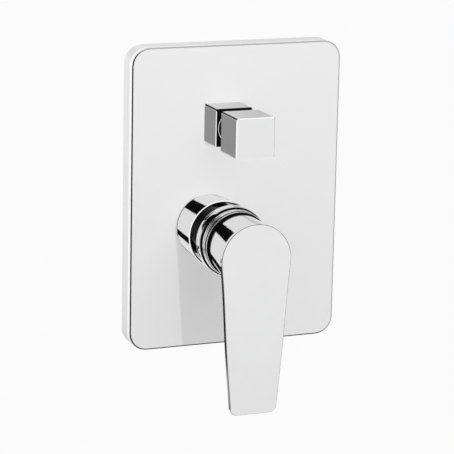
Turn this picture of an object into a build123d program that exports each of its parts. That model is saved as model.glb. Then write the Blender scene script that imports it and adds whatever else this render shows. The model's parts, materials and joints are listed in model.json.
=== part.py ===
from build123d import *
import math
import os

os.makedirs("parts", exist_ok=True)

# Concealed bath mixer with a push-pull bath and shower diverter, in millimetres.
# The front faces -Y and +Z is up; Y = 0 is the rear face of the fixing lugs in the wall.
# Every "_d" value is a distance out from that rear face.

# Layout
wall_depth = 70.0
lever_x = -10.3
lever_z = -4.4
knob_x = 0.0
knob_z = 66.2
plate_x = 10.4
plate_z = 15.0

# Clearances and laps
run_gap = 0.05
fit_gap = 0.1
play = 0.3
lap = 1.0
edge_soft = 0.5

# Cover plate
plate_w = 150.0
plate_h = 207.0
plate_depth = 16.2
plate_wall = 1.6
plate_corner_r = 12.5
plate_edge_r = 1.1
plate_hole_gap = 0.15
nose_hole_gap = 0.6
plate_gasket_t = 1.5
plate_gasket_w = 5.0
plate_gasket_inset = 0.6

# Sleeve round the cartridge neck
sleeve_root_r = 21.2
sleeve_rim_r = 23.2
sleeve_wall = 1.3
sleeve_step = 0.2
sleeve_reach = 28.3
sleeve_tail = 14.0
sleeve_bore_reach = 9.0
oring_section = 2.0
oring_room = 0.4
oring_rear_set = 6.0
oring_front_set = 5.0
seal_w = 3.0
seal_t = 2.4

# Cartridge neck and dome cap
neck_r = 15.2
neck_base_r = 18.9
neck_base_reach = 10.0
neck_spigot_r = 13.0
neck_spigot_len = 6.0
pivot_ahead = 23.2
cap_skirt_r = 16.7
cap_skirt_len = 7.0
cap_bore_gap = 0.2
dome_r = 17.6
dome_len = 12.5

# Ring set and spacer on the rear of the lever hub
hub_ring_gap = 13.2
hub_ring_r = 23.8
hub_ring_len = 7.2
hub_ring_bulge = 0.5
hub_ring_bore_r = 21.2
hub_ring_bore_len = 6.0
hub_groove_r = 20.9
hub_groove_w = 1.2
bead_r = 22.4
bead_len = 2.5
bead_bulge = 0.3
hub_line_r = 21.3
hub_line_w = 0.5
hub_lip_r = 22.0
hub_lip_len = 1.7
spacer_r = 19.4
spacer_wall = 1.3
spacer_behind = 3.6
spacer_hold = 3.2

# Lever
hub_ahead = 8.6
hub_rear_r = 20.7
hub_len = 26.4
hub_cavity_len = 10.0
hub_wall = 2.0
hub_hollow_len = 10.0
hub_boss_r = 9.0
lever_root_t = 3.0
lever_tip_t = 1.9
lever_head_r = 24.0
lever_head_drop = 2.7
lever_root_drop = 6.0
lever_mid_w = 40.0
lever_mid_z = 57.0
lever_tip_w = 31.4
lever_length = 105.7
lever_tip_r = 4.5
lever_edge_r = 0.45
lever_screw_ahead = 14.0
lever_screw_r = 2.5
lever_screw_len = 5.4
lever_key_r = 1.25
lever_key_deep = 2.5
plug_len = 4.2
plug_sunk = 0.8

# Cartridge
cartridge_r = 12.5
cartridge_top_r = 11.3
cartridge_wall = 1.5
cartridge_top_wall = 1.3
cartridge_base_t = 3.0
housing_ahead = 4.0
housing_taper = 1.0
lip_r = 8.8
lip_t = 2.0
port_gasket_t = 1.0
port_gasket_rim = 0.5
disc_t = 2.5
disc_r = 8.5
mix_slot_len = 9.0
mix_slot_w = 6.0
mix_slot_up = 1.6
mix_slot_deep = 1.2
lift_arm = 11.0
lift_angle = 22.0
pivot_to_seat = 24.0
pivot_to_neck = 1.5
spindle_w = 7.0
spindle_len = 27.0
spindle_behind = 2.4
spindle_corner_r = 0.8
ball_r = 2.8
ball_neck_r = 2.2
carriage_corner_r = 1.0
turret_behind = 0.6
turret_ahead = 2.0
turret_shoulder = 1.2
slot_split = 3.0
slot_rear_top = 3.6
slot_front_low = 4.6
slot_room = 0.5
port_x = 5.5
port_low_z = -4.0
port_high_z = 7.0
port_r = 2.4
peg_x = 8.0
peg_z = 3.2
peg_r = 1.3
peg_len = 2.5
pin_r = 1.2
pin_inset = 1.2
nut_len = 5.0
nut_thread = 1.0
nut_key_w = 3.0
nut_key_deep = 2.0

# In-wall body
chamber_r = 21.5
chamber_rear_d = 18.0
chamber_front_d = 64.0
chamber_chamfer = 2.5
inlet_d = 49.0
inlet_r = 10.0
inlet_bore_r = 5.5
inlet_reach = 36.0
socket_r = 14.5
socket_len = 19.0
socket_sides = 8
thread_r = 9.3
thread_len = 15.0
riser_d = 30.0
riser_r = 9.0
riser_bore_r = 4.4
riser_bore_start = 3.0
duct_d = 12.0
duct_r = 8.5
duct_bore_r = 5.6
duct_wall = 3.5
rib_x = -3.5
rib_t = 4.0
rib_z = 36.4
rib_h = 33.1
bath_d = 16.5
bath_reach = 54.0
shower_d = 38.0
shower_r = 10.0
shower_reach = 42.0
shower_bore_ahead = 3.5
lug_span_x = 58.0
lug_span_z = 60.0
lug_w = 13.0
lug_t = 5.0
lug_corner_r = 6.2
lug_hole_r = 2.75
lug_bar_h = 20.0
foot_w = 22.0
foot_h = 18.0
foot_lap = 2.0

# Diverter
valve_r = 13.5
valve_chamfer = 2.0
valve_bore_r = 9.5
valve_rear_d = 25.0
seat_bore_r = 5.5
seat_t = 3.0
bonnet_plug_len = 8.0
bonnet_flange_t = 4.5
bonnet_flange_r = 12.0
bonnet_nose_r = 9.0
bonnet_seal_t = 1.0
cage_wall = 2.4
cage_taper = 2.0
window_r = 3.4
stem_r = 3.0
stem_hold = 15.0
stem_tail = 0.6
stem_ring_set = 2.6
stem_ring_groove = 2.0
stem_ring_groove_w = 2.2
washer_r = 8.0
washer_t = 1.0
valve_disc_r = 7.8
valve_disc_t = 1.6
valve_nut_r = 3.5
valve_nut_t = 2.4
valve_hole_r = 2.0
diverter_travel = 6.3
corner_r = 1.2
collar_edge = 0.3
collar_w = 26.0
collar_len = 20.9
collar_open_r = 11.5
collar_web = 8.5
nose_short = 1.5
collar_ring_gap = 1.6
collar_ring_edge = 1.2
collar_ring_t = 1.2
insert_rim = 0.2
insert_t = 1.5
insert_sunk = 0.3
insert_open_r = 10.6
insert_edge = 0.3
knob_w = 27.0
knob_len = 27.2
knob_gap = 10.2
knob_screw_ahead = 8.0
knob_screw_r = 2.0
knob_screw_len = 8.0
knob_key_r = 1.0
knob_key_deep = 2.2
bush_r = 8.0
bush_len = 13.6
bush_hold = 4.8
bush_edge = 0.4
bush_flange_r = 10.2
bush_flange_t = 2.0

# Stations along the lever axis
plate_back_d = wall_depth + plate_gasket_t
plate_front_d = plate_back_d + plate_depth
plate_inner_d = plate_front_d - plate_wall
rim_d = plate_front_d + sleeve_reach
hub_ring_d = rim_d + hub_ring_gap
hub_groove_d = hub_ring_d + hub_ring_len
bead_d = hub_groove_d + hub_groove_w
bead_mid_d = bead_d + bead_len
bead_end_d = bead_mid_d + bead_len
hub_lip_d = bead_end_d + hub_line_w
hub_lip_end_d = hub_lip_d + hub_lip_len
pivot_d = rim_d + pivot_ahead
dome_d = pivot_d + dome_len
neck_rear_d = chamber_front_d - neck_spigot_len
neck_base_d = plate_front_d + neck_base_reach
neck_front_d = pivot_d - pivot_to_neck
nut_d = neck_front_d - nut_len
seat_d = pivot_d - pivot_to_seat
hub_d = pivot_d + hub_ahead
lever_back_d = hub_d + hub_len
lever_front_d = lever_back_d + lever_root_t

# Stations along the knob axis
bonnet_d = wall_depth + bonnet_seal_t
nose_d = bonnet_d + bonnet_flange_t
valve_stack = 2 * washer_t + valve_disc_t
front_seat_d = valve_rear_d + valve_stack + diverter_travel + 2 * run_gap
collar_front_d = plate_front_d + collar_len
web_d = plate_front_d + collar_web
nose_end_d = web_d - nose_short
knob_back_d = collar_front_d + knob_gap
bush_end_d = knob_back_d - bush_len
stem_end_d = knob_back_d + stem_hold

lever_axis = Axis((lever_x, 0, lever_z), (0, 1, 0))
knob_axis = Axis((knob_x, 0, knob_z), (0, 1, 0))
lever_profile = Plane(origin=(lever_x, 0, lever_z), x_dir=(1, 0, 0), z_dir=(0, 0, -1))
knob_profile = Plane(origin=(knob_x, 0, knob_z), x_dir=(1, 0, 0), z_dir=(0, 0, -1))


def lever_plane(d):
    return Plane(origin=(lever_x, -d, lever_z), x_dir=(1, 0, 0), z_dir=(0, -1, 0))


def knob_plane(d):
    return Plane(origin=(knob_x, -d, knob_z), x_dir=(1, 0, 0), z_dir=(0, -1, 0))


def plate_plane(d):
    return Plane(origin=(plate_x, -d, plate_z), x_dir=(1, 0, 0), z_dir=(0, -1, 0))


def body_plane(d):
    return Plane(origin=(0, -d, 0), x_dir=(1, 0, 0), z_dir=(0, -1, 0))


# Brass body cast in one piece: chamber, inlets, riser, diverter chamber, outlets and fixing lugs.
riser_angle = math.degrees(math.atan2(knob_x - lever_x, knob_z - lever_z))
riser_len = math.hypot(knob_x - lever_x, knob_z - lever_z)
socket_turn = 180 / socket_sides
low_ports = ((-port_x, port_low_z), (port_x, port_low_z))
all_ports = (*low_ports, (0, port_high_z))
pegs = ((-peg_x, peg_z), (peg_x, peg_z))
with BuildPart() as mixer_body:
    with BuildSketch(lever_profile):
        with BuildLine():
            Polyline(
                (0, chamber_rear_d),
                (chamber_r, chamber_rear_d),
                (chamber_r, chamber_front_d - chamber_chamfer),
                (chamber_r - chamber_chamfer, chamber_front_d),
                (0, chamber_front_d),
                close=True,
            )
        make_face()
    revolve(axis=lever_axis)
    with BuildSketch(knob_profile):
        with BuildLine():
            Polyline(
                (0, duct_d),
                (valve_r - valve_chamfer, duct_d),
                (valve_r, duct_d + valve_chamfer),
                (valve_r, wall_depth),
                (0, wall_depth),
                close=True,
            )
        make_face()
    revolve(axis=knob_axis)
    with Locations(Location((lever_x, -inlet_d, lever_z), (0, 90, 0))):
        Cylinder(inlet_r, 2 * inlet_reach)
    for side in (-1, 1):
        socket_x = lever_x + side * inlet_reach
        with BuildSketch(Plane(origin=(socket_x, -inlet_d, lever_z), z_dir=(-side, 0, 0))):
            RegularPolygon(socket_r, socket_sides, major_radius=False, rotation=socket_turn)
        extrude(amount=socket_len)
    with Locations(Location(((lever_x + knob_x) / 2, -riser_d, (lever_z + knob_z) / 2), (0, riser_angle, 0))):
        Cylinder(riser_r, riser_len)
    with BuildSketch(Plane(origin=(knob_x, -duct_d, lap - bath_reach), z_dir=(0, 0, 1))):
        Circle(duct_r)
    extrude(amount=bath_reach - lap + knob_z + seat_bore_r + duct_wall)
    with BuildSketch(Plane(origin=(knob_x, -bath_d, -bath_reach), z_dir=(0, 0, 1))):
        RegularPolygon(socket_r, socket_sides, major_radius=False, rotation=socket_turn)
    extrude(amount=socket_len)
    with Locations((knob_x, -shower_d, knob_z + shower_reach / 2)):
        Cylinder(shower_r, shower_reach - lap)
    with BuildSketch(Plane(origin=(knob_x, -shower_d, knob_z + shower_reach), z_dir=(0, 0, -1))):
        RegularPolygon(socket_r, socket_sides, major_radius=False, rotation=socket_turn)
    extrude(amount=socket_len)
    # Rib that ties the riser to the return duct.
    with Locations((knob_x + rib_x, -(duct_d + riser_d) / 2, rib_z)):
        Box(rib_t, riser_d - duct_d, rib_h)
    with BuildSketch(body_plane(0)):
        with Locations((-lug_span_x / 2, 0), (lug_span_x / 2, 0)):
            RectangleRounded(lug_w, lug_span_z + lug_w, lug_corner_r)
        Rectangle(lug_span_x, lug_bar_h)
        with GridLocations(lug_span_x, lug_span_z, 2, 2):
            Circle(lug_hole_r, mode=Mode.SUBTRACT)
    extrude(amount=lug_t)
    with BuildSketch(lever_plane(0)):
        Rectangle(foot_w, foot_h)
    extrude(amount=chamber_rear_d + foot_lap)
    # Waterways: hot and cold to the cartridge, mixed water up the riser, two outlets.
    for side in (-1, 1):
        bore_mid = lever_x + side * (inlet_reach + port_x - lap) / 2
        with Locations(Location((bore_mid, -inlet_d, lever_z), (0, 90, 0))):
            Cylinder(inlet_bore_r, inlet_reach - port_x + lap, mode=Mode.SUBTRACT)
        thread_mid = lever_x + side * (inlet_reach - thread_len / 2)
        with Locations(Location((thread_mid, -inlet_d, lever_z), (0, 90, 0))):
            Cylinder(thread_r, thread_len, mode=Mode.SUBTRACT)
    with BuildSketch(lever_plane(inlet_d)):
        with Locations(*low_ports):
            Circle(port_r)
    extrude(amount=chamber_front_d - inlet_d, mode=Mode.SUBTRACT)
    with BuildSketch(lever_plane(riser_d)):
        with Locations((0, port_high_z)):
            Circle(port_r)
    extrude(amount=chamber_front_d - riser_d, mode=Mode.SUBTRACT)
    bore_share = (riser_bore_start + riser_len) / (2 * riser_len)
    bore_x = lever_x + (knob_x - lever_x) * bore_share
    bore_z = lever_z + (knob_z - lever_z) * bore_share
    with Locations(Location((bore_x, -riser_d, bore_z), (0, riser_angle, 0))):
        Cylinder(riser_bore_r, riser_len - riser_bore_start, mode=Mode.SUBTRACT)
    with BuildSketch(knob_profile):
        with BuildLine():
            Polyline(
                (0, duct_d),
                (seat_bore_r, duct_d),
                (seat_bore_r, valve_rear_d),
                (valve_bore_r, valve_rear_d),
                (valve_bore_r, wall_depth),
                (0, wall_depth),
                close=True,
            )
        make_face()
    revolve(axis=knob_axis, mode=Mode.SUBTRACT)
    with Locations((knob_x, -duct_d, (knob_z - bath_reach + thread_len - lap) / 2)):
        Cylinder(duct_bore_r, knob_z + bath_reach - thread_len + lap, mode=Mode.SUBTRACT)
    with Locations((knob_x, -bath_d, -bath_reach + thread_len / 2)):
        Cylinder(thread_r, thread_len, mode=Mode.SUBTRACT)
    with Locations((knob_x, -shower_d - shower_bore_ahead, knob_z + (shower_reach - thread_len + lap) / 2)):
        Cylinder(riser_bore_r, shower_reach - thread_len + lap, mode=Mode.SUBTRACT)
    with Locations((knob_x, -shower_d, knob_z + shower_reach - thread_len / 2)):
        Cylinder(thread_r, thread_len, mode=Mode.SUBTRACT)
    # Socket for the neck.
    with BuildSketch(lever_plane(neck_rear_d)):
        Circle(neck_spigot_r + run_gap)
    extrude(amount=neck_spigot_len, mode=Mode.SUBTRACT)
mixer_body.part.label = "mixer_body"
export_step(mixer_body.part, "parts/mixer_body.step")

# Blackened neck brazed into the body: three drillings, cartridge pocket, nut thread, ring grooves.
oring_groove_r = sleeve_root_r - sleeve_wall - sleeve_step - oring_section
oring_d = (plate_inner_d - oring_rear_set, plate_front_d + oring_front_set)
nut_r = cartridge_r + nut_thread
with BuildPart() as cartridge_neck:
    with BuildSketch(lever_profile):
        with BuildLine():
            Polyline(
                (0, neck_rear_d),
                (neck_spigot_r, neck_rear_d),
                (neck_spigot_r, chamber_front_d),
                (neck_base_r, chamber_front_d),
                (neck_base_r, neck_base_d),
                (neck_r, neck_base_d),
                (neck_r, neck_front_d),
                (nut_r + fit_gap, neck_front_d),
                (nut_r + fit_gap, nut_d),
                (cartridge_r + fit_gap, nut_d),
                (cartridge_r + fit_gap, seat_d),
                (0, seat_d),
                close=True,
            )
        make_face()
    revolve(axis=lever_axis)
    with BuildSketch(lever_plane(neck_rear_d)):
        with Locations(*all_ports):
            Circle(port_r)
    extrude(amount=seat_d - neck_rear_d, mode=Mode.SUBTRACT)
    with BuildSketch(lever_plane(seat_d - peg_len - play)):
        with Locations(*pegs):
            Circle(peg_r + fit_gap)
    extrude(amount=peg_len + play, mode=Mode.SUBTRACT)
    with BuildSketch(lever_profile):
        for d in oring_d:
            with Locations(((oring_groove_r + neck_base_r + lap) / 2, d)):
                Rectangle(neck_base_r + lap - oring_groove_r, oring_section + oring_room)
    revolve(axis=lever_axis, mode=Mode.SUBTRACT)
cartridge_neck.part.label = "cartridge_neck"
export_step(cartridge_neck.part, "parts/cartridge_neck.step")

# Chromed sleeve that widens toward its rim and stands on the plate.
sleeve_foot_r = sleeve_root_r - sleeve_step
with BuildPart() as sleeve:
    with BuildSketch(lever_profile):
        with BuildLine():
            Polyline(
                (sleeve_foot_r, plate_front_d - sleeve_tail),
                (sleeve_foot_r, plate_front_d),
                (sleeve_root_r, plate_front_d + sleeve_step),
                (sleeve_rim_r, rim_d - edge_soft),
                (sleeve_rim_r - edge_soft, rim_d),
                (sleeve_rim_r - sleeve_wall, rim_d),
                (sleeve_foot_r - sleeve_wall, plate_front_d + sleeve_bore_reach),
                (sleeve_foot_r - sleeve_wall, plate_front_d - sleeve_tail),
                close=True,
            )
        make_face()
    revolve(axis=lever_axis)
sleeve.part.label = "sleeve"
export_step(sleeve.part, "parts/sleeve.step")

# Two rubber rings in the neck grooves carry the sleeve.
oring_r = oring_groove_r + oring_section / 2
with BuildPart() as sleeve_ring_rear:
    with BuildSketch(lever_profile):
        with Locations((oring_r, oring_d[0])):
            Circle(oring_section / 2)
    revolve(axis=lever_axis)
sleeve_ring_rear.part.label = "sleeve_ring_rear"
export_step(sleeve_ring_rear.part, "parts/sleeve_ring_rear.step")

with BuildPart() as sleeve_ring_front:
    with BuildSketch(lever_profile):
        with Locations((oring_r, oring_d[1])):
            Circle(oring_section / 2)
    revolve(axis=lever_axis)
sleeve_ring_front.part.label = "sleeve_ring_front"
export_step(sleeve_ring_front.part, "parts/sleeve_ring_front.step")

# Rubber ring that closes the plate opening on the sleeve.
with BuildPart() as sleeve_seal:
    with BuildSketch(lever_plane(plate_inner_d - seal_t)):
        Circle(sleeve_root_r + seal_w)
        Circle(sleeve_foot_r, mode=Mode.SUBTRACT)
    extrude(amount=seal_t)
sleeve_seal.part.label = "sleeve_seal"
export_step(sleeve_seal.part, "parts/sleeve_seal.step")

# Pressed cover plate: a shallow tray, open at the back, with the two openings.
with BuildPart() as cover_plate:
    with BuildSketch(plate_plane(plate_back_d)):
        RectangleRounded(plate_w, plate_h, plate_corner_r)
    extrude(amount=plate_depth)
    fillet(cover_plate.faces().sort_by(Axis.Y)[0].edges(), plate_edge_r)
    with BuildSketch(plate_plane(plate_back_d)):
        RectangleRounded(plate_w - 2 * plate_wall, plate_h - 2 * plate_wall, plate_corner_r - plate_wall)
    extrude(amount=plate_depth - plate_wall, mode=Mode.SUBTRACT)
    with BuildSketch(lever_plane(plate_back_d)):
        Circle(sleeve_root_r + plate_hole_gap)
    extrude(amount=plate_depth, mode=Mode.SUBTRACT)
    with BuildSketch(knob_plane(plate_back_d)):
        Circle(bonnet_nose_r + nose_hole_gap)
    extrude(amount=plate_depth, mode=Mode.SUBTRACT)
cover_plate.part.label = "cover_plate"
export_step(cover_plate.part, "parts/cover_plate.step")

# Foam gasket between the rim of the plate and the wall.
gasket_w = plate_w - 2 * plate_gasket_inset
gasket_h = plate_h - 2 * plate_gasket_inset
gasket_r = plate_corner_r - plate_gasket_inset
with BuildPart() as plate_gasket:
    with BuildSketch(plate_plane(wall_depth)):
        RectangleRounded(gasket_w, gasket_h, gasket_r)
        RectangleRounded(
            gasket_w - 2 * plate_gasket_w,
            gasket_h - 2 * plate_gasket_w,
            gasket_r - plate_gasket_w,
            mode=Mode.SUBTRACT,
        )
    extrude(amount=plate_gasket_t)
plate_gasket.part.label = "plate_gasket"
export_step(plate_gasket.part, "parts/plate_gasket.step")

# Ceramic cartridge: moulded housing with a base of three ports.
housing_in_r = cartridge_r - cartridge_wall
housing_top_in_r = cartridge_top_r - cartridge_top_wall
housing_top_d = pivot_d + housing_ahead
lip_d = housing_top_d - lip_t
with BuildPart() as cartridge_housing:
    with BuildSketch(lever_profile):
        with BuildLine():
            Polyline(
                (0, seat_d),
                (cartridge_r, seat_d),
                (cartridge_r, nut_d),
                (cartridge_top_r, nut_d),
                (cartridge_top_r, housing_top_d),
                (lip_r, housing_top_d),
                (lip_r, lip_d),
                (housing_top_in_r, lip_d),
                (housing_top_in_r, nut_d),
                (housing_in_r, nut_d - housing_taper),
                (housing_in_r, seat_d + cartridge_base_t),
                (0, seat_d + cartridge_base_t),
                close=True,
            )
        make_face()
    revolve(axis=lever_axis)
    with BuildSketch(lever_plane(seat_d)):
        Circle(housing_in_r - port_gasket_rim)
    extrude(amount=port_gasket_t, mode=Mode.SUBTRACT)
    with BuildSketch(lever_plane(seat_d)):
        with Locations(*all_ports):
            Circle(port_r)
    extrude(amount=cartridge_base_t, mode=Mode.SUBTRACT)
    with BuildSketch(lever_plane(seat_d - peg_len)):
        with Locations(*pegs):
            Circle(peg_r)
    extrude(amount=peg_len + port_gasket_t)
cartridge_housing.part.label = "cartridge_housing"
export_step(cartridge_housing.part, "parts/cartridge_housing.step")

# Rubber port gasket in the recess under the housing.
with BuildPart() as port_gasket:
    with BuildSketch(lever_plane(seat_d)):
        Circle(housing_in_r - port_gasket_rim - fit_gap)
        with Locations(*all_ports):
            Circle(port_r, mode=Mode.SUBTRACT)
        with Locations(*pegs):
            Circle(peg_r + fit_gap, mode=Mode.SUBTRACT)
    extrude(amount=port_gasket_t)
port_gasket.part.label = "port_gasket"
export_step(port_gasket.part, "parts/port_gasket.step")

# Fixed ceramic disc on the base of the housing.
fixed_d = seat_d + cartridge_base_t
with BuildPart() as fixed_disc:
    with BuildSketch(lever_plane(fixed_d)):
        Circle(housing_in_r - fit_gap)
        with Locations(*all_ports):
            Circle(port_r, mode=Mode.SUBTRACT)
    extrude(amount=disc_t)
fixed_disc.part.label = "fixed_disc"
export_step(fixed_disc.part, "parts/fixed_disc.step")

# Moving ceramic disc, with the mixing hollow in its sealing face.
lift_travel = lift_arm * math.radians(lift_angle)
disc_rest_z = lift_travel / 2
moving_d = fixed_d + disc_t + run_gap
with BuildPart() as moving_disc:
    with BuildSketch(lever_plane(moving_d)):
        with Locations((0, disc_rest_z)):
            Circle(disc_r)
    extrude(amount=disc_t)
    with BuildSketch(lever_plane(moving_d)):
        with Locations((0, disc_rest_z + mix_slot_up)):
            SlotOverall(mix_slot_len, mix_slot_w, rotation=90)
    extrude(amount=mix_slot_deep, mode=Mode.SUBTRACT)
moving_disc.part.label = "moving_disc"
export_step(moving_disc.part, "parts/moving_disc.step")

# Carriage that carries the moving disc and takes the ball end of the spindle.
ball_d = pivot_d - lift_arm
carriage_d = moving_d + disc_t
turret_d = ball_d + turret_behind
with BuildPart() as disc_carriage:
    with BuildSketch(lever_plane(carriage_d)):
        with Locations((0, disc_rest_z)):
            Circle(disc_r)
    extrude(amount=turret_d - play - carriage_d)
    with BuildSketch(lever_plane(ball_d - ball_r - play)):
        RectangleRounded(2 * ball_r + play, 2 * ball_r + 2 * play, carriage_corner_r)
    extrude(amount=lift_arm, mode=Mode.SUBTRACT)
disc_carriage.part.label = "disc_carriage"
export_step(disc_carriage.part, "parts/disc_carriage.step")

# Turret that turns in the housing and holds the pivot pin.
tilt = math.radians(lift_angle)
turret_flange_d = nut_d - housing_taper - play
turret_nose_r = lip_r - 2 * fit_gap
turret_top_d = housing_top_d + turret_ahead
slot_w = spindle_w + play
slot_up = (turret_top_d - pivot_d) * math.tan(tilt) + spindle_w / 2 / math.cos(tilt) + slot_room
slot_down = (pivot_d - turret_d) * math.sin(tilt) + ball_r + slot_room
pin_len = 2 * (housing_top_in_r - pin_inset)
with BuildPart() as cartridge_turret:
    with BuildSketch(lever_profile):
        with BuildLine():
            Polyline(
                (0, turret_d),
                (housing_in_r - run_gap, turret_d),
                (housing_in_r - run_gap, turret_flange_d),
                (housing_top_in_r - run_gap, turret_flange_d + turret_shoulder),
                (housing_top_in_r - run_gap, lip_d - play),
                (turret_nose_r, lip_d - play),
                (turret_nose_r, turret_top_d),
                (0, turret_top_d),
                close=True,
            )
        make_face()
    revolve(axis=lever_axis)
    with BuildSketch(lever_plane(turret_d)):
        with Locations((0, (slot_rear_top - slot_down) / 2)):
            Rectangle(slot_w, slot_rear_top + slot_down)
    extrude(amount=pivot_d - turret_d - slot_split, mode=Mode.SUBTRACT)
    with BuildSketch(lever_plane(pivot_d - slot_split - fit_gap)):
        with Locations((0, (slot_up - slot_front_low) / 2)):
            Rectangle(slot_w, slot_up + slot_front_low)
    extrude(amount=turret_top_d - pivot_d + slot_split + fit_gap, mode=Mode.SUBTRACT)
    with Locations(Location((lever_x, -pivot_d, lever_z), (0, 90, 0))):
        Cylinder(pin_r, pin_len, mode=Mode.SUBTRACT)
cartridge_turret.part.label = "cartridge_turret"
export_step(cartridge_turret.part, "parts/cartridge_turret.step")

# Steel pivot pin across the turret.
with BuildPart() as pivot_pin:
    with Locations(Location((lever_x, -pivot_d, lever_z), (0, 90, 0))):
        Cylinder(pin_r, pin_len)
pivot_pin.part.label = "pivot_pin"
export_step(pivot_pin.part, "parts/pivot_pin.step")

# Spindle: square arm toward the lever, ball end toward the carriage.
spindle_end_d = pivot_d + spindle_len
with BuildPart() as spindle:
    with BuildSketch(lever_plane(pivot_d - spindle_behind)):
        RectangleRounded(spindle_w, spindle_w, spindle_corner_r)
    extrude(amount=spindle_len + spindle_behind)
    with BuildSketch(lever_plane(ball_d)):
        Circle(ball_neck_r)
    extrude(amount=lift_arm - spindle_behind + play)
    with Locations((lever_x, -ball_d, lever_z)):
        Sphere(ball_r)
    with Locations(Location((lever_x, -pivot_d, lever_z), (0, 90, 0))):
        Cylinder(pin_r + run_gap, 2 * spindle_w, mode=Mode.SUBTRACT)
spindle.part.label = "spindle"
export_step(spindle.part, "parts/spindle.step")

# Brass nut that holds the cartridge in the neck.
with BuildPart() as cartridge_nut:
    with BuildSketch(lever_plane(nut_d)):
        Circle(nut_r)
        Circle(cartridge_top_r + fit_gap, mode=Mode.SUBTRACT)
    extrude(amount=nut_len)
    with BuildSketch(lever_plane(neck_front_d - nut_key_deep)):
        Rectangle(nut_key_w, 2 * nut_r)
        Rectangle(2 * nut_r, nut_key_w)
    extrude(amount=nut_key_deep, mode=Mode.SUBTRACT)
cartridge_nut.part.label = "cartridge_nut"
export_step(cartridge_nut.part, "parts/cartridge_nut.step")

# Black dome cap over the cartridge nut; its round front is centred on the lever pivot.
cap_bore_r = cartridge_top_r + cap_bore_gap
cap_skirt_d = neck_front_d - cap_skirt_len
dome_from_d = pivot_d - math.sqrt(dome_r ** 2 - cap_skirt_r ** 2)
dome_end_r = math.sqrt(dome_r ** 2 - dome_len ** 2)
with BuildPart() as dome_cap:
    with BuildSketch(lever_profile):
        with BuildLine():
            Polyline(
                (dome_end_r, dome_d),
                (cap_bore_r, dome_d),
                (cap_bore_r, neck_front_d),
                (neck_r + fit_gap, neck_front_d),
                (neck_r + fit_gap, cap_skirt_d),
                (cap_skirt_r, cap_skirt_d),
                (cap_skirt_r, dome_from_d),
            )
            ThreePointArc((cap_skirt_r, dome_from_d), (dome_r, pivot_d), (dome_end_r, dome_d))
        make_face()
    revolve(axis=lever_axis)
dome_cap.part.label = "dome_cap"
export_step(dome_cap.part, "parts/dome_cap.step")

# Chromed ring set behind the hub: broad round ring, groove, two beads and a lip.
hub_ring_side_r = hub_ring_r - hub_ring_bulge
bead_side_r = bead_r - bead_bulge
lip_side_r = hub_lip_r - bead_bulge
ring_seat_r = spacer_r + run_gap
ring_step_d = hub_ring_d + hub_ring_bore_len
with BuildPart() as hub_ring:
    with BuildSketch(lever_profile):
        with BuildLine():
            Polyline(
                (lip_side_r, hub_lip_end_d),
                (ring_seat_r, hub_lip_end_d),
                (ring_seat_r, ring_step_d),
                (hub_ring_bore_r, ring_step_d),
                (hub_ring_bore_r, hub_ring_d),
                (hub_ring_side_r, hub_ring_d),
            )
            ThreePointArc(
                (hub_ring_side_r, hub_ring_d),
                (hub_ring_r, (hub_ring_d + hub_groove_d) / 2),
                (hub_ring_side_r, hub_groove_d),
            )
            Polyline(
                (hub_ring_side_r, hub_groove_d),
                (hub_groove_r, hub_groove_d),
                (hub_groove_r, bead_d),
                (bead_side_r, bead_d),
            )
            ThreePointArc(
                (bead_side_r, bead_d),
                (bead_r, (bead_d + bead_mid_d) / 2),
                (bead_side_r, bead_mid_d),
            )
            ThreePointArc(
                (bead_side_r, bead_mid_d),
                (bead_r, (bead_mid_d + bead_end_d) / 2),
                (bead_side_r, bead_end_d),
            )
            Polyline(
                (bead_side_r, bead_end_d),
                (hub_line_r, bead_end_d),
                (hub_line_r, hub_lip_d),
                (lip_side_r, hub_lip_d),
            )
            ThreePointArc(
                (lip_side_r, hub_lip_d),
                (hub_lip_r, (hub_lip_d + hub_lip_end_d) / 2),
                (lip_side_r, hub_lip_end_d),
            )
        make_face()
    revolve(axis=lever_axis)
hub_ring.part.label = "hub_ring"
export_step(hub_ring.part, "parts/hub_ring.step")

# Black tube that joins the ring set to the hub and shows as a dark line between them.
spacer_d = hub_lip_end_d - spacer_behind
with BuildPart() as hub_spacer:
    with BuildSketch(lever_plane(spacer_d)):
        Circle(spacer_r)
        Circle(spacer_r - spacer_wall, mode=Mode.SUBTRACT)
    extrude(amount=hub_d + spacer_hold - spacer_d)
hub_spacer.part.label = "hub_spacer"
export_step(hub_spacer.part, "parts/hub_spacer.step")

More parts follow.
